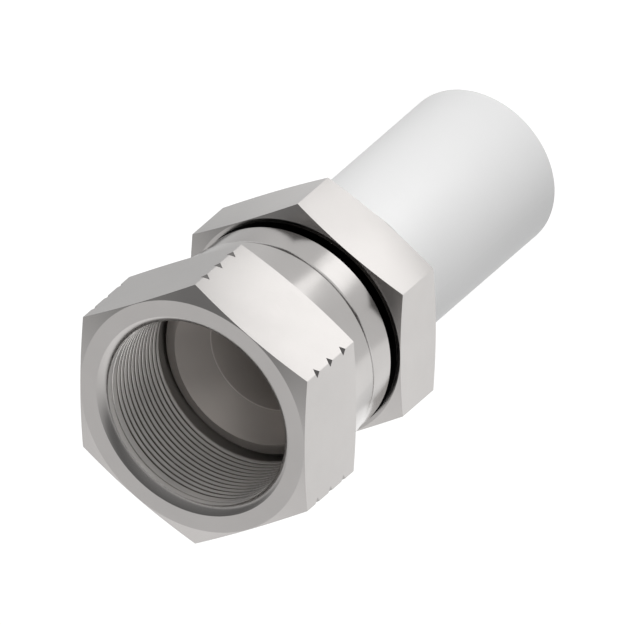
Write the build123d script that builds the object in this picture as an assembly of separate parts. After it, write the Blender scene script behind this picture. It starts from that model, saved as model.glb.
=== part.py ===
from build123d import *
import os
from math import cos, radians, sqrt, tan

# Swivel hose fitting: a captive threaded nut that turns on the head of a hose nipple, and a ferrule on its tail.
# Millimetres. The common axis is Z. The fitting stands on the ferrule's open end at z = 0, with the nut on top.
# Each hexagon has a corner towards +Y.

# Swivel nut
nut_across_flats = 55.0
nut_length = 41.0
nut_hex_length = 22.0
nut_face_inset = 0.13        # the end faces' circle lies this much inside the flats
skirt_top_radius = 26.7      # skirt where it leaves the hexagon
skirt_radius = 25.45         # skirt at its small end, above the pressed band
band_radius = 24.9
band_length = 6.8
band_step = 1.6              # height over which the skirt drops to the band
mark_count = 3               # V marks turned across every corner of the hexagon
mark_pitch = 5.5
mark_depth = 0.62
mark_width = 1.7
thread_major_diameter = 45.0
thread_length = 19.8
entry_depth = 3.0            # plain entry in front of the thread, with its countersink
entry_clearance = 0.25       # the entry is this much wider than the thread, on the radius
mouth_countersink = 1.05     # the mouth is this much wider than the thread, on the radius
relief_radius = 23.1
nut_throat_length = 5.7      # plain bore of the pressed band, around the neck
nut_throat_chamfer = 0.6

# Gap between the nut's end and the nipple's hexagon
nut_gap = 2.6

# Nipple: nose, head and neck
head_radius = 21.25
neck_radius = 19.2
nose_length = 19.2           # from the hexagon's face to the lip of the seat
nose_drop = 1.28             # from the lip down to the outer edge of the nose
nose_bulge = 0.12            # height of the nose's round over a straight cone
seat_lip_radius = 18.4
seat_half_angle = 35.0
nose_bore_radius = 13.5
nose_bore_depth = 26.0       # from the lip to the end of the full bore
drill_half_angle = 59.0
swivel_clearance = 0.08      # neck to throat, on the radius
seat_clearance = 0.15        # head's shoulder to the nut's inner cone, along the axis

# Nipple: hexagon and shoulder
body_across_flats = 51.6
body_hex_length = 15.1
body_face_inset = 0.05
hex_chamfer_angle = 15.0     # both hexagons, at both ends
face_recess_radius = 24.88
face_recess_depth = 1.6
shoulder_radius = 22.0
shoulder_length = 4.9
shoulder_chamfer = 0.3

# Nipple: hose tail, for a hose with a 19 mm bore
tail_bore_radius = 7.5
tail_crest_radius = 9.8
tail_root_radius = 9.1
tail_recess = 2.0            # the tail's tip stays this far inside the ferrule
tail_tip_radius = 8.7
tail_tip_length = 3.0
barb_count = 8
barb_rise = 0.8              # share of a barb's pitch that rises towards the hexagon
groove_radius = 11.6
lock_collar_radius = 13.0
lock_collar_length = 2.6
lock_taper_length = 2.4

# Ferrule
ferrule_outer_diameter = 37.5
ferrule_length = 58.1
ferrule_wall = 2.4
ferrule_end_wall = 4.0
ferrule_edge_radius = 0.5
lip_clearance = 0.05         # end wall's bore to the groove, on the radius
collar_clearance = 0.1       # end wall to the locking collar, along the axis
rib_count = 7
rib_height = 0.8
rib_width = 2.6
rib_top_width = 1.4
plain_mouth_length = 6.0     # ferrule bore without ribs, at its open end
plain_root_length = 6.0      # and next to its end wall
mouth_chamfer = 0.8

# Heights that follow from the sizes above
shoulder_base = ferrule_length
hex_base = shoulder_base + shoulder_length
hex_top = hex_base + body_hex_length
nut_base = hex_top + nut_gap
nut_top = nut_base + nut_length
lip_top = hex_top + nose_length
thread_major_radius = thread_major_diameter / 2
thread_top = nut_top - entry_depth
thread_base = thread_top - thread_length
throat_radius = neck_radius + swivel_clearance
throat_top = nut_base + nut_throat_length


def turned(*edges):
    """Solid of revolution about Z from the edges of a closed half section in the XZ plane."""
    return revolve(make_face(Curve() + [*edges]), Axis.Z)


def turned_outline(points):
    """Solid of revolution about Z from a closed outline of (radius, height) corners."""
    outline = Polyline(*[(r, 0, z) for r, z in points], close=True)
    return revolve(make_face(outline), Axis.Z)


def hexagon(across_flats, base, length, face_inset):
    """Hexagonal prism with a corner towards +Y, its ends turned to a shallow cone down to a round face."""
    apothem = across_flats / 2
    corner = apothem / cos(radians(30))
    face = apothem - face_inset
    beyond = corner + 1
    fall = (beyond - face) * tan(radians(hex_chamfer_angle))
    top = base + length
    prism = Pos(0, 0, base) * extrude(RegularPolygon(corner, 6, rotation=30), length)
    barrel = turned_outline([
        (0, base),
        (face, base),
        (beyond, base + fall),
        (beyond, top - fall),
        (face, top),
        (0, top),
    ])
    return prism & barrel


def corner_marks():
    """Rings of V section that cut the three marks into the nut's corners."""
    corner = nut_across_flats / 2 / cos(radians(30))
    middle = nut_top - nut_hex_length / 2
    slope = mark_width / 2 / mark_depth
    reach = 1.0
    rings = []
    for number in range(mark_count):
        height = middle + (number - (mark_count - 1) / 2) * mark_pitch
        rings.append(turned_outline([
            (corner - mark_depth, height),
            (corner + reach, height - (mark_depth + reach) * slope),
            (corner + reach, height + (mark_depth + reach) * slope),
        ]))
    return rings


def nut_skirt():
    """Tapered skirt below the nut's hexagon, the step down from it and the pressed band."""
    hex_bottom = nut_top - nut_hex_length
    band_top = nut_base + band_length
    step_top = band_top + band_step
    middle_radius = skirt_radius - (skirt_radius - band_radius) * 0.75
    return turned(
        Polyline((0, 0, hex_bottom + 1), (0, 0, nut_base), (band_radius, 0, nut_base), (band_radius, 0, band_top)),
        ThreePointArc(
            (band_radius, 0, band_top),
            (middle_radius, 0, band_top + band_step * 0.45),
            (skirt_radius, 0, step_top),
        ),
        Polyline((skirt_radius, 0, step_top), (skirt_top_radius, 0, hex_bottom), (skirt_top_radius, 0, hex_bottom + 1)),
        Line((skirt_top_radius, 0, hex_bottom + 1), (0, 0, hex_bottom + 1)),
    )


def nut_bore():
    """Space inside the nut: countersunk entry, thread, relief, cone that pulls on the head, and throat."""
    mouth = thread_major_radius + mouth_countersink
    entry = thread_major_radius + entry_clearance
    countersink = mouth_countersink - entry_clearance
    cone_top = throat_top + relief_radius - throat_radius
    relief_top = thread_base
    return turned_outline([
        (0, nut_top + 1),
        (mouth, nut_top + 1),
        (mouth, nut_top),
        (entry, nut_top - countersink),
        (entry, thread_top + entry_clearance),
        (thread_major_radius, thread_top),
        (thread_major_radius, relief_top),
        (relief_radius, relief_top - (relief_radius - thread_major_radius)),
        (relief_radius, cone_top),
        (throat_radius, throat_top),
        (throat_radius, nut_base + nut_throat_chamfer),
        (throat_radius + nut_throat_chamfer, nut_base),
        (throat_radius + nut_throat_chamfer, nut_base - 1),
        (0, nut_base - 1),
    ])


def swivel_nut():
    nut = hexagon(nut_across_flats, nut_top - nut_hex_length, nut_hex_length, nut_face_inset)
    nut = nut + nut_skirt()
    nut = nut - nut_bore()
    return nut - corner_marks()


def nose_and_neck():
    """Nipple above its hexagon: neck, 45 degree shoulder under the head, head and rounded nose."""
    shoulder_start = throat_top - swivel_clearance + seat_clearance
    head_base = shoulder_start + head_radius - neck_radius
    edge = lip_top - nose_drop
    middle_radius = (seat_lip_radius + head_radius) / 2
    middle = lip_top - nose_drop / 2 + nose_bulge
    foot = hex_top - face_recess_depth - 1
    return turned(
        Polyline(
            (0, 0, foot),
            (neck_radius, 0, foot),
            (neck_radius, 0, shoulder_start),
            (head_radius, 0, head_base),
            (head_radius, 0, edge),
        ),
        ThreePointArc((head_radius, 0, edge), (middle_radius, 0, middle), (seat_lip_radius, 0, lip_top)),
        Polyline((seat_lip_radius, 0, lip_top), (0, 0, lip_top), (0, 0, foot)),
    )


def nipple_body():
    """Hexagon with a turned recess in its upper face, and the round shoulder below it."""
    body = hexagon(body_across_flats, hex_base, body_hex_length, body_face_inset)
    recess = turned_outline([
        (neck_radius, hex_top + 1),
        (face_recess_radius, hex_top + 1),
        (face_recess_radius, hex_top - face_recess_depth),
        (neck_radius, hex_top - face_recess_depth),
    ])
    shoulder = turned_outline([
        (0, hex_base + 1),
        (0, shoulder_base),
        (shoulder_radius - shoulder_chamfer, shoulder_base),
        (shoulder_radius, shoulder_base + shoulder_chamfer),
        (shoulder_radius, hex_base + 1),
    ])
    return body - recess + shoulder


def hose_tail():
    """Groove and locking collar for the ferrule, and the barbed tail with its tapered tip."""
    groove_base = shoulder_base - ferrule_end_wall - collar_clearance
    collar_base = groove_base - lock_collar_length
    barbs_top = collar_base - lock_taper_length
    tip = tail_recess
    barbs_base = tip + tail_tip_length
    pitch = (barbs_top - barbs_base) / barb_count
    outline = [
        (0, shoulder_base + 1),
        (groove_radius, shoulder_base + 1),
        (groove_radius, groove_base),
        (lock_collar_radius, groove_base),
        (lock_collar_radius, collar_base),
        (tail_root_radius, barbs_top),
    ]
    for number in range(barb_count):
        top = barbs_top - number * pitch
        outline.append((tail_crest_radius, top - pitch * (1 - barb_rise)))
        outline.append((tail_root_radius, top - pitch))
    outline.append((tail_tip_radius, tip))
    outline.append((0, tip))
    return turned_outline(outline)


def flow_bore():
    """Bore right through the nipple: conical seat, wide nose bore, drilled cone and narrow tail bore."""
    seat_depth = (seat_lip_radius - nose_bore_radius) / tan(radians(seat_half_angle))
    bore_end = lip_top - nose_bore_depth
    drill_end = bore_end - (nose_bore_radius - tail_bore_radius) / tan(radians(drill_half_angle))
    return turned_outline([
        (0, lip_top + 1),
        (seat_lip_radius, lip_top + 1),
        (seat_lip_radius, lip_top),
        (nose_bore_radius, lip_top - seat_depth),
        (nose_bore_radius, bore_end),
        (tail_bore_radius, drill_end),
        (tail_bore_radius, tail_recess - 1),
        (0, tail_recess - 1),
    ])


def hose_nipple():
    nipple = nipple_body() + nose_and_neck() + hose_tail()
    return nipple - flow_bore()


def crimp_ferrule():
    """Shell with an end wall that sits in the nipple's groove and ribs inside that grip the hose."""
    outer = ferrule_outer_diameter / 2
    inner = outer - ferrule_wall
    lip = groove_radius + lip_clearance
    end_wall_base = ferrule_length - ferrule_end_wall
    edge = ferrule_edge_radius
    middle = edge * (1 - cos(radians(45)))
    shell = turned(
        Polyline((lip, 0, ferrule_length), (lip, 0, end_wall_base), (inner, 0, end_wall_base), (inner, 0, mouth_chamfer)),
        Polyline((inner, 0, mouth_chamfer), (inner + mouth_chamfer, 0, 0), (outer - edge, 0, 0)),
        ThreePointArc((outer - edge, 0, 0), (outer - middle, 0, middle), (outer, 0, edge)),
        Line((outer, 0, edge), (outer, 0, ferrule_length - edge)),
        ThreePointArc(
            (outer, 0, ferrule_length - edge),
            (outer - middle, 0, ferrule_length - middle),
            (outer - edge, 0, ferrule_length),
        ),
        Line((outer - edge, 0, ferrule_length), (lip, 0, ferrule_length)),
    )
    ribs_top = end_wall_base - plain_root_length
    pitch = (ribs_top - plain_mouth_length) / rib_count
    ribs = []
    for number in range(rib_count):
        height = ribs_top - (number + 0.5) * pitch
        ribs.append(turned_outline([
            (inner + ferrule_wall / 2, height + rib_width / 2),
            (inner, height + rib_width / 2),
            (inner - rib_height, height + rib_top_width / 2),
            (inner - rib_height, height - rib_top_width / 2),
            (inner, height - rib_width / 2),
            (inner + ferrule_wall / 2, height - rib_width / 2),
        ]))
    return shell + ribs


def main():
    os.makedirs("parts", exist_ok=True)
    parts = {
        "swivel_nut": swivel_nut(),
        "hose_nipple": hose_nipple(),
        "crimp_ferrule": crimp_ferrule(),
    }
    for name, solid in parts.items():
        solid.label = name
        export_step(solid, f"parts/{name}.step")


main()
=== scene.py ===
import bpy
import bmesh
from math import cos, pi, radians, sin, sqrt
from mathutils import Matrix, Vector


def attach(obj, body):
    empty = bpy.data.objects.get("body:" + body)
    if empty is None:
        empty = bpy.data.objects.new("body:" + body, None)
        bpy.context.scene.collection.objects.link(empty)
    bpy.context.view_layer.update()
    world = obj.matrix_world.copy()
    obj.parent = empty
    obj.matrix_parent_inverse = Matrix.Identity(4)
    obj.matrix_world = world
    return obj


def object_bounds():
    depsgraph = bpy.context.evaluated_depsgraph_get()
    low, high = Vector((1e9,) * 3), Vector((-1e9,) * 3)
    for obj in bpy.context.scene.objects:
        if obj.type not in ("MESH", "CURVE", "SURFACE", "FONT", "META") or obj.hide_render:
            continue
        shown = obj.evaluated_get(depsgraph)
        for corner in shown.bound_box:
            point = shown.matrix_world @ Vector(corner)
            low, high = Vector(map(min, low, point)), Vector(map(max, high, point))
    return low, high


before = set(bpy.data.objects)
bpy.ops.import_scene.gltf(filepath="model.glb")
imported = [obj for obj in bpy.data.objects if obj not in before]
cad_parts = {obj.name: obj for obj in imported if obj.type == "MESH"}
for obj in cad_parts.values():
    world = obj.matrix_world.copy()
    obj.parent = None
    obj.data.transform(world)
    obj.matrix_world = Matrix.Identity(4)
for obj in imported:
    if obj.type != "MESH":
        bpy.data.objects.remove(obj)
cad_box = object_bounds()

MM = 0.001

# Sizes of the solids that the finishes and the thread follow, in millimetres. Heights count from the floor.
NUT_TOP = cad_box[1].z / MM
NUT_LENGTH = 41.0
NUT_GAP = 2.6                # from the nipple's hexagon up to the nut
THREAD_MAJOR = 22.5
THREAD_BASE = NUT_TOP - 22.8  # height where the thread's bore ends
RELIEF_RADIUS = 23.1         # of the room behind the thread
MOUTH_RADIUS = 23.54
HEX_TOP = NUT_TOP - NUT_LENGTH - NUT_GAP
RECESS_RADIUS = 24.88        # of the recess in the top of the nipple's hexagon
RECESS_DEPTH = 1.6
NECK_RADIUS = 19.2
HEAD_RADIUS = 21.25
HEAD_BASE = 88.7             # height of the lower edge of the head's outside
NOSE_BORE_RADIUS = 13.5

# The thread that lines the nut, in millimetres. Depths run down from the nut's end.
THREAD_CREST = 21.69
THREAD_PITCH = 1.5
THREAD_TURNS = 12
THREAD_START = 5.44          # depth of the middle of the first groove, at THREAD_ANGLE
THREAD_ANGLE = 221.0         # degrees from +Y towards +X
THREAD_END = 23.1            # depth of the end of the last crest
GROOVE_HALF = 0.34           # half its width at the crests
GROOVE_DEPTH = 0.42
GROOVE_FADE = 1 / 3          # turns over which the groove comes in, and over which it ends
RUNOUT_LINE = 2.12           # from the first groove up to the thin line
RUNOUT_HALF = 0.2
RUNOUT_DEPTH = 0.22
RUNOUT_FADE = 1 / 6
FADED_DEPTH = 0.004          # what is left of a groove that has faded out
HIDDEN_RADIUS = THREAD_MAJOR + 0.1
MOUTH_HALF_ARC = radians(22.5)
MOUTH_SEGMENTS = 12
RING_SEGMENTS = 192
MERGE_DISTANCE = 0.002
SHARP_ANGLE = radians(25)

# Spans of radius or height, in millimetres, over which one finish, painted light or painted shade gives way
# to the next
NUT_BORE_EDGE = (RELIEF_RADIUS + 0.15, RELIEF_RADIUS + 0.25)
RELIEF_EDGE = (THREAD_BASE - 0.6, THREAD_BASE - 0.2)
MOUTH_EDGE = (NUT_TOP - 2.3, NUT_TOP - 2.0)
CREST_EDGE = (THREAD_CREST + 0.02, THREAD_CREST + 0.10)
GROOVE_EDGE = (THREAD_CREST + 0.02, THREAD_CREST + 0.20)
RECESS_EDGE = (RECESS_RADIUS - 0.03, RECESS_RADIUS + 0.03)
RECESS_FLOOR_EDGE = (HEX_TOP - RECESS_DEPTH - 0.2, HEX_TOP - RECESS_DEPTH - 0.1)
NECK_EDGE = (NECK_RADIUS - 0.2, NECK_RADIUS - 0.1)
HEAD_BASE_EDGE = (HEAD_BASE - 0.1, HEAD_BASE + 0.1)
HEAD_EDGE = (HEAD_RADIUS + 0.05, HEAD_RADIUS + 0.15)
NOSE_BORE_EDGE = (NOSE_BORE_RADIUS + 0.1, NOSE_BORE_RADIUS + 0.2)

# Finishes. The lighter bore, nose and crest colours are painted light; the relief, groove and neck colours
# are painted shade.
STEEL = (0.44, 0.425, 0.415)
# painted light: a lighter colour in the nut's bore stands in for light that reaches it
NUT_BORE_PAINTED_LIGHT = (0.66, 0.64, 0.62)
# painted light: a lighter colour on the nipple's head, seat and bore inside the nut
NOSE_PAINTED_LIGHT = (0.50, 0.465, 0.44)
# painted light: a light colour on the thread's crests inside the nut
CREST_PAINTED_LIGHT = (0.78, 0.76, 0.74)
FERRULE_STEEL = (0.66, 0.66, 0.66)
# painted shade: the recess behind the thread is coloured dark
RELIEF_PAINTED_SHADE = (0.30, 0.28, 0.26)
# painted shade: the thread's grooves are coloured nearly black
GROOVE_PAINTED_SHADE = (0.10, 0.09, 0.08)
# painted shade: black for the neck and recess in the gap under the nut
NECK_PAINTED_SHADE = (0.01, 0.01, 0.01)
MATT_SHARE = 0.5             # of the light on a matt surface, scattered evenly and not mirrored
FLOW_BORE_MATT = 1.7         # the nipple's bore is this many times as matt
CLOUD_SCALE = 0.09           # clouds in the plating, per millimetre
CLOUD_SPREAD = 0.06          # how much lighter and darker they make it
MARK_SCALE = 5.0             # turning marks, per millimetre
MARK_DEPTH = 0.02 * MM
MARK_ROUGHNESS = 0.10        # how much the marks change the roughness
DARK_ROUGHNESS = 0.25        # how much rougher the dark places are

# Floor, in metres. The levels are how bright it looks.
FLOOR_RADIUS = 3.0
FLOOR_GREY = 0.35
FLOOR_SEEN = 0.86            # to the camera
FLOOR_MIRRORED = 0.735       # in the metal
FLOOR_MIRRORED_LEFT = 0.50   # in the metal, past FLOOR_EDGE towards -X
FLOOR_EDGE = (-0.095, -0.045)

# Studio walls: how bright they are from -Y, at -1, to +Y, at 1
WALL_LEVELS = (
    (-1.0, 1.28), (-0.80, 1.24), (-0.65, 1.11), (-0.50, 0.94),
    (-0.28, 0.60), (-0.05, 0.25), (0.2, 0.19), (1.0, 0.32),
)
LOW_WALL = (0.9, 0.9, 0.9)   # all round, near the floor
LOW_WALL_EDGE = (0.02, 0.30)  # heights, on a sphere of radius 1, where it gives way to them

# Lamps that lie on the floor and shine straight up: name, place, width and length in metres, and watts
FLOOR_LAMPS = (
    ("key_panel", (0.056, 0.099), (0.054, 0.060), 0.0118),
    ("side_panel", (0.080, -0.065), (0.060, 0.090), 0.0060),
    ("rear_panel", (0.015, -0.095), (0.050, 0.050), 0.0027),
    ("edge_panel", (0.022, 0.080), (0.012, 0.035), 0.0013),
)
FLOOR_LAMP_HEIGHT = 0.003

# Camera
PHOTO_SIZE = 625             # pixels, square
PHOTO_SCALE = 4.711          # pixels per millimetre
PHOTO_CENTRE = 70.7          # height, in millimetres, of the point on the axis that is shown in the middle
CAMERA_LEAN = radians(30)    # from straight above towards +Y, and then as much towards +X
CAMERA_DISTANCE = 0.6


# Node helpers

def new_material(name):
    """Material with nodes. Returns it, its node tree and its Principled shader."""
    material = bpy.data.materials.new(name)
    material.use_nodes = True
    tree = material.node_tree
    return material, tree, tree.nodes["Principled BSDF"]


def grey(level):
    return (level, level, level, 1.0)


def node(tree, kind, **values):
    made = tree.nodes.new(kind)
    for key, value in values.items():
        setattr(made, key, value)
    return made


def math_node(tree, operation, first, second=None, third=None):
    """Math node whose inputs are sockets or plain numbers."""
    made = node(tree, "ShaderNodeMath", operation=operation)
    for index, value in enumerate((first, second, third)):
        if value is None:
            continue
        if isinstance(value, (int, float)):
            made.inputs[index].default_value = value
        else:
            tree.links.new(value, made.inputs[index])
    return made.outputs[0]


def overlap(tree, first, *others):
    """Product of shares: 1 only where each of them is 1."""
    for share in others:
        first = math_node(tree, "MULTIPLY", first, share)
    return first


def step_up(tree, value, span):
    """0 below the span, 1 above it, smooth between."""
    made = node(tree, "ShaderNodeMapRange", interpolation_type="SMOOTHSTEP")
    tree.links.new(value, made.inputs["Value"])
    made.inputs["From Min"].default_value = span[0]
    made.inputs["From Max"].default_value = span[1]
    return made.outputs["Result"]


def step_down(tree, value, span):
    """1 below the span, 0 above it, smooth between."""
    return math_node(tree, "SUBTRACT", 1.0, step_up(tree, value, span))


def noise(tree, vector, scale, detail, roughness):
    made = node(tree, "ShaderNodeTexNoise")
    tree.links.new(vector, made.inputs["Vector"])
    made.inputs["Scale"].default_value = scale
    made.inputs["Detail"].default_value = detail
    made.inputs["Roughness"].default_value = roughness
    return made.outputs["Fac"]


def mix_colour(tree, factor, first, second):
    """First where the factor is 0, second where it is 1. Each is a socket or a plain colour."""
    made = node(tree, "ShaderNodeMix", data_type="RGBA")
    factor_socket, first_socket, second_socket = made.inputs[0], made.inputs[6], made.inputs[7]
    tree.links.new(factor, factor_socket)
    for socket, value in ((first_socket, first), (second_socket, second)):
        if isinstance(value, tuple):
            socket.default_value = (*value, 1.0)
        else:
            tree.links.new(value, socket)
    return made.outputs[2]


def object_place(tree):
    """Object coordinates in millimetres: the point, its radius from the axis and its height."""
    coordinates = node(tree, "ShaderNodeTexCoord")
    scaled = node(tree, "ShaderNodeVectorMath", operation="SCALE")
    tree.links.new(coordinates.outputs["Object"], scaled.inputs[0])
    scaled.inputs["Scale"].default_value = 1 / MM
    split = node(tree, "ShaderNodeSeparateXYZ")
    tree.links.new(scaled.outputs[0], split.inputs[0])
    squares = math_node(
        tree, "ADD",
        math_node(tree, "MULTIPLY", split.outputs["X"], split.outputs["X"]),
        math_node(tree, "MULTIPLY", split.outputs["Y"], split.outputs["Y"]),
    )
    return scaled.outputs[0], math_node(tree, "SQRT", squares), split.outputs["Z"]


# Steel

def turned_surface(tree, shader, radius, height, roughness, strength):
    """Fine turning marks: noise that changes with the radius and height only. Returns the roughness."""
    join = node(tree, "ShaderNodeCombineXYZ")
    tree.links.new(radius, join.inputs["X"])
    tree.links.new(height, join.inputs["Z"])
    marks = noise(tree, join.outputs[0], MARK_SCALE, detail=2.0, roughness=0.6)
    bump = node(tree, "ShaderNodeBump")
    bump.inputs["Strength"].default_value = strength
    bump.inputs["Distance"].default_value = MARK_DEPTH
    tree.links.new(marks, bump.inputs["Height"])
    tree.links.new(bump.outputs["Normal"], shader.inputs["Normal"])
    return math_node(tree, "MULTIPLY_ADD", marks, MARK_ROUGHNESS, roughness - MARK_ROUGHNESS / 2)


def plated_steel(name, painted_light_colour, painted_shade_colour, inside, shade, roughness=0.20, strength=0.04):
    """Zinc plated steel with faint clouds and turning marks.

    inside and shade take the node tree, the radius and the height. They give the share, from 0 to 1, of the
    half matt inner surfaces with their painted light, and of the painted shade. An inside above 1 is more
    matt.
    """
    material, tree, shader = new_material(name)
    place, radius, height = object_place(tree)
    rough = turned_surface(tree, shader, radius, height, roughness, strength)
    cloud = noise(tree, place, CLOUD_SCALE, detail=4.0, roughness=0.55)
    darker = tuple(c * (1 - CLOUD_SPREAD) for c in STEEL)
    lighter = tuple(c * (1 + CLOUD_SPREAD) for c in STEEL)
    inner = inside(tree, radius, height)
    dark = shade(tree, radius, height)
    # The inner colour is painted light, and the dark colour mixed in over it is painted shade.
    plated = mix_colour(tree, inner, mix_colour(tree, cloud, darker, lighter), painted_light_colour)
    tree.links.new(mix_colour(tree, dark, plated, painted_shade_colour), shader.inputs["Base Color"])
    tree.links.new(math_node(tree, "MULTIPLY_ADD", inner, -MATT_SHARE, 1.0), shader.inputs["Metallic"])
    rough = math_node(tree, "ADD", rough, math_node(tree, "MULTIPLY", dark, DARK_ROUGHNESS))
    tree.links.new(rough, shader.inputs["Roughness"])
    return material


def matt_steel(name, colour, roughness=0.55, strength=0.04):
    """Zinc plated steel that is half matt and of one colour all over, with turning marks."""
    material, tree, shader = new_material(name)
    _, radius, height = object_place(tree)
    shader.inputs["Base Color"].default_value = (*colour, 1.0)
    shader.inputs["Metallic"].default_value = 1 - MATT_SHARE
    rough = turned_surface(tree, shader, radius, height, roughness, strength)
    tree.links.new(rough, shader.inputs["Roughness"])
    return material


def nut_bore_painted_light(tree, radius, height):
    """All of the nut's bore. Its lighter colour is painted light."""
    return step_down(tree, radius, NUT_BORE_EDGE)


def nut_relief_shade(tree, radius, height):
    """The nut's bore below the thread, whose darker colour is painted shade."""
    return overlap(tree, step_down(tree, radius, NUT_BORE_EDGE), step_down(tree, height, RELIEF_EDGE))


def nose_and_bore_painted_light(tree, radius, height):
    """The nipple's head with its conical seat, and its bore, which is more matt. Both get a lighter colour
    that is painted light.
    """
    head = overlap(tree, step_up(tree, height, HEAD_BASE_EDGE), step_down(tree, radius, HEAD_EDGE))
    bore = math_node(tree, "MULTIPLY", step_down(tree, radius, NOSE_BORE_EDGE), FLOW_BORE_MATT)
    return math_node(tree, "MAXIMUM", head, bore)


def neck_and_recess_shade(tree, radius, height):
    """The nipple's neck, its head's shoulder and the recess in its hexagon, painted near black as the shade
    in the gap under the nut.
    """
    return overlap(
        tree,
        step_up(tree, radius, NECK_EDGE),
        step_down(tree, radius, RECESS_EDGE),
        step_up(tree, height, RECESS_FLOOR_EDGE),
        step_down(tree, height, HEAD_BASE_EDGE),
    )


def crests(tree, radius, height):
    """The thread's crests and the plain bore above them, but not the rounded mouth or the grooves. Their
    lighter colour is painted light.
    """
    return step_down(tree, radius, CREST_EDGE)


def grooves(tree, radius, height):
    """The thread's grooves, but not the rounded mouth. Their dark colour is painted shade."""
    return overlap(tree, step_down(tree, height, MOUTH_EDGE), step_up(tree, radius, GROOVE_EDGE))


nut_steel = plated_steel("nut_steel", NUT_BORE_PAINTED_LIGHT, RELIEF_PAINTED_SHADE, nut_bore_painted_light, nut_relief_shade)
nipple_steel = plated_steel("nipple_steel", NOSE_PAINTED_LIGHT, NECK_PAINTED_SHADE, nose_and_bore_painted_light, neck_and_recess_shade)
thread_steel = plated_steel(
    "thread_steel", CREST_PAINTED_LIGHT, GROOVE_PAINTED_SHADE, crests, grooves, roughness=0.22, strength=0.02)
ferrule_steel = matt_steel("ferrule_steel", FERRULE_STEEL)

for name, material in (
    ("swivel_nut", nut_steel),
    ("hose_nipple", nipple_steel),
    ("crimp_ferrule", ferrule_steel),
):
    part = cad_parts[name]
    part.data.materials.clear()
    part.data.materials.append(material)


# Thread in the nut

def ring(mesh, index, profile):
    """Vertices of a profile of (radius, depth) at one of the angles, which count from +Y towards +X."""
    angle = 2 * pi * index / RING_SEGMENTS
    return [
        mesh.verts.new((radius * sin(angle) * MM, radius * cos(angle) * MM, (NUT_TOP - depth) * MM))
        for radius, depth in profile
    ]


def bridge(mesh, rings):
    """Faces between each ring and the next."""
    for first, second in zip(rings, rings[1:]):
        for number in range(len(first) - 1):
            mesh.faces.new((first[number], first[number + 1], second[number + 1], second[number]))


def groove_profile(middle, half, depth, top, bottom):
    """Crest, V groove and crest again, from the depth top to the depth bottom."""
    return [
        (THREAD_CREST, top),
        (THREAD_CREST, middle - half),
        (THREAD_CREST + max(FADED_DEPTH, depth), middle),
        (THREAD_CREST, middle + half),
        (THREAD_CREST, bottom),
    ]


def mouth_profile():
    """Round from the nut's end down to the crests: an arc whose chord lies at 45 degrees."""
    arc_radius = (MOUTH_RADIUS - THREAD_CREST) / sqrt(2) / sin(MOUTH_HALF_ARC)
    points = []
    for number in range(MOUTH_SEGMENTS + 1):
        tilt = MOUTH_HALF_ARC * (1 + 2 * number / MOUTH_SEGMENTS)
        points.append((
            MOUTH_RADIUS + arc_radius * (sin(MOUTH_HALF_ARC) - sin(tilt)),
            arc_radius * (cos(MOUTH_HALF_ARC) - cos(tilt)),
        ))
    return points


def thread_lining():
    """Lining of the nut's plain bore: rounded mouth, broad crests and a right-hand helical V groove."""
    mesh = bmesh.new()
    once_round = range(RING_SEGMENTS + 1)
    lead = THREAD_START - THREAD_PITCH * THREAD_ANGLE / 360
    mouth = mouth_profile()
    bridge(mesh, [ring(mesh, index, mouth) for index in once_round])

    # The helix, from half a pitch above the groove to half a pitch below it
    rings = []
    for index in range(THREAD_TURNS * RING_SEGMENTS + 1):
        turn = index / RING_SEGMENTS
        middle = lead + THREAD_PITCH * turn
        fade = min(1.0, turn / GROOVE_FADE, (THREAD_TURNS - turn) / GROOVE_FADE)
        rings.append(ring(mesh, index, groove_profile(
            middle, GROOVE_HALF, GROOVE_DEPTH * fade, middle - THREAD_PITCH / 2, middle + THREAD_PITCH / 2)))
    bridge(mesh, rings)

    # Above the first turn, with the thin line where the thread runs out
    rings = []
    for index in once_round:
        turn = index / RING_SEGMENTS
        fade = min(1.0, turn / RUNOUT_FADE, (1 - turn) / RUNOUT_FADE)
        rings.append(ring(mesh, index, groove_profile(
            lead - RUNOUT_LINE + THREAD_PITCH * turn, RUNOUT_HALF, RUNOUT_DEPTH * fade,
            MOUTH_RADIUS - THREAD_CREST, lead + THREAD_PITCH * (turn - 0.5))))
    bridge(mesh, rings)

    # Below the last turn
    last = lead + THREAD_PITCH * (THREAD_TURNS - 0.5)
    bridge(mesh, [
        ring(mesh, index, [
            (THREAD_CREST, last + THREAD_PITCH * index / RING_SEGMENTS),
            (THREAD_CREST, THREAD_END),
        ])
        for index in once_round
    ])

    # The end of the crests and the hidden side of the lining
    back = [
        (THREAD_CREST, THREAD_END),
        (HIDDEN_RADIUS, THREAD_END),
        (HIDDEN_RADIUS, MOUTH_RADIUS - HIDDEN_RADIUS),
        (MOUTH_RADIUS, 0.0),
    ]
    bridge(mesh, [ring(mesh, index, back) for index in once_round])

    bmesh.ops.remove_doubles(mesh, verts=mesh.verts, dist=MERGE_DISTANCE * MM)
    bmesh.ops.recalc_face_normals(mesh, faces=mesh.faces)
    data = bpy.data.meshes.new("nut_thread")
    mesh.to_mesh(data)
    mesh.free()
    made = bpy.data.objects.new("nut_thread", data)
    bpy.context.scene.collection.objects.link(made)
    data.materials.append(thread_steel)
    for face in data.polygons:
        face.use_smooth = True
    data.set_sharp_from_angle(angle=SHARP_ANGLE)
    return made


lining = thread_lining()
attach(lining, "nut")


# Floor and walls

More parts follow.
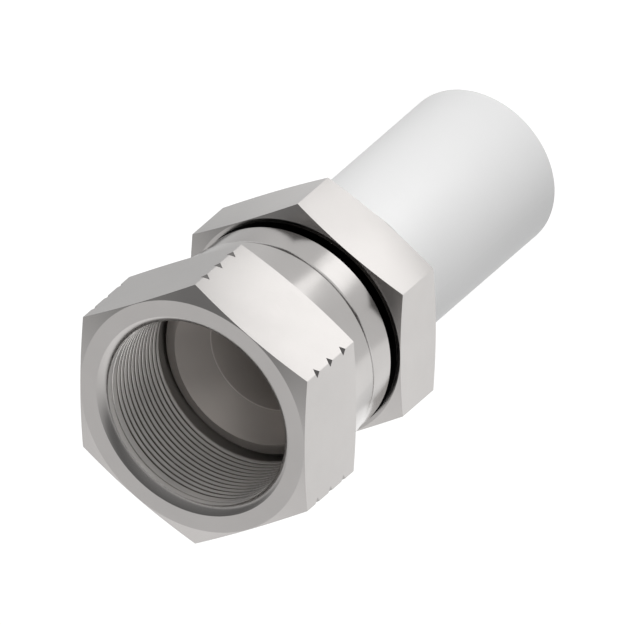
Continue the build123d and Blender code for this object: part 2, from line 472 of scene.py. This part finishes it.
def floor_material():
    """Plain scattering floor, which glows at one level for the camera and at another in reflections."""
    material = bpy.data.materials.new("floor")
    material.use_nodes = True
    tree = material.node_tree
    tree.nodes.clear()
    diffuse = node(tree, "ShaderNodeBsdfDiffuse")
    diffuse.inputs["Color"].default_value = grey(FLOOR_GREY)
    glow = node(tree, "ShaderNodeEmission")
    glow.inputs["Color"].default_value = grey(1.0)
    path = node(tree, "ShaderNodeLightPath")
    by_camera = path.outputs["Is Camera Ray"]
    by_reflection = math_node(
        tree, "MAXIMUM", path.outputs["Is Glossy Ray"], path.outputs["Is Transmission Ray"])
    shown = math_node(tree, "MAXIMUM", by_camera, by_reflection)
    # Metal sees the floor darker to the left of the fitting, as past the edge of a lit table.
    geometry = node(tree, "ShaderNodeNewGeometry")
    split = node(tree, "ShaderNodeSeparateXYZ")
    tree.links.new(geometry.outputs["Position"], split.inputs[0])
    lit = step_up(tree, split.outputs["X"], FLOOR_EDGE)
    mirrored = math_node(
        tree, "MULTIPLY_ADD", lit, FLOOR_MIRRORED - FLOOR_MIRRORED_LEFT, FLOOR_MIRRORED_LEFT)
    level = math_node(tree, "MAXIMUM", mirrored, math_node(tree, "MULTIPLY", by_camera, FLOOR_SEEN))
    tree.links.new(math_node(tree, "MULTIPLY", shown, level), glow.inputs["Strength"])
    both = node(tree, "ShaderNodeAddShader")
    tree.links.new(diffuse.outputs[0], both.inputs[0])
    tree.links.new(glow.outputs[0], both.inputs[1])
    out = node(tree, "ShaderNodeOutputMaterial")
    tree.links.new(both.outputs[0], out.inputs["Surface"])
    return material


bpy.ops.mesh.primitive_circle_add(vertices=96, radius=FLOOR_RADIUS, fill_type="NGON", location=(0, 0, 0))
floor = bpy.context.object
floor.name = "floor"
floor.data.materials.append(floor_material())


def studio_walls():
    """World that is pale all round near the floor, dim overhead and towards +Y, and bright towards -Y."""
    world = bpy.data.worlds.new("studio")
    bpy.context.scene.world = world
    world.use_nodes = True
    tree = world.node_tree
    background = tree.nodes["Background"]
    coordinates = node(tree, "ShaderNodeTexCoord")
    split = node(tree, "ShaderNodeSeparateXYZ")
    tree.links.new(coordinates.outputs["Generated"], split.inputs[0])
    ramp = node(tree, "ShaderNodeValToRGB")
    stops = ramp.color_ramp.elements
    stops[0].color = grey(WALL_LEVELS[0][1])
    stops[1].color = grey(WALL_LEVELS[-1][1])
    for place, level in WALL_LEVELS[1:-1]:
        stops.new((place + 1) / 2).color = grey(level)
    tree.links.new(math_node(tree, "MULTIPLY_ADD", split.outputs["Y"], 0.5, 0.5), ramp.inputs["Fac"])
    low = step_down(tree, split.outputs["Z"], LOW_WALL_EDGE)
    tree.links.new(mix_colour(tree, low, ramp.outputs["Color"], LOW_WALL), background.inputs["Color"])


studio_walls()


# Lamps

def lamp(name, place, target, size, power, mirrored):
    """Area lamp at place that shines towards target. The metal reflects it only where mirrored is true."""
    data = bpy.data.lights.new(name, "AREA")
    data.shape = "RECTANGLE"
    data.size, data.size_y = size
    data.energy = power
    made = bpy.data.objects.new(name, data)
    bpy.context.scene.collection.objects.link(made)
    made.location = place
    made.rotation_mode = "QUATERNION"
    made.rotation_quaternion = (Vector(target) - Vector(place)).to_track_quat("-Z", "Y")
    made.visible_camera = False
    made.visible_glossy = mirrored


for name, (x, y), size, power in FLOOR_LAMPS:
    lamp(name, (x, y, FLOOR_LAMP_HEIGHT), (x, y, 1.0), size, power, mirrored=True)

# Lamps that light only what is matt: the bore, and the ferrule from the side
lamp(
    "bore_light", place=(0.055, 0.018, 0.160), target=(-0.020, -0.006, 0.110),
    size=(0.03, 0.03), power=0.030, mirrored=False)
lamp(
    "soft_box", place=(0.10, 0.55, 0.052), target=(0.0, 0.0, 0.052),
    size=(0.40, 0.10), power=4.2, mirrored=False)


# Camera

def photo_camera():
    """Parallel view at the photograph's angle: the fitting's axis runs from lower left to upper right."""
    data = bpy.data.cameras.new("photo")
    data.type = "ORTHO"
    data.ortho_scale = PHOTO_SIZE / PHOTO_SCALE * MM
    data.clip_start = 0.01
    data.clip_end = 10
    camera = bpy.data.objects.new("photo", data)
    bpy.context.scene.collection.objects.link(camera)
    bpy.context.scene.camera = camera
    turn = Matrix.Rotation(CAMERA_LEAN, 4, "Y") @ Matrix.Rotation(-CAMERA_LEAN, 4, "X")
    away = turn @ Vector((0, 0, CAMERA_DISTANCE))
    camera.matrix_world = Matrix.Translation(Vector((0, 0, PHOTO_CENTRE * MM)) + away) @ turn


photo_camera()
view = bpy.context.scene.view_settings
view.view_transform = "Standard"
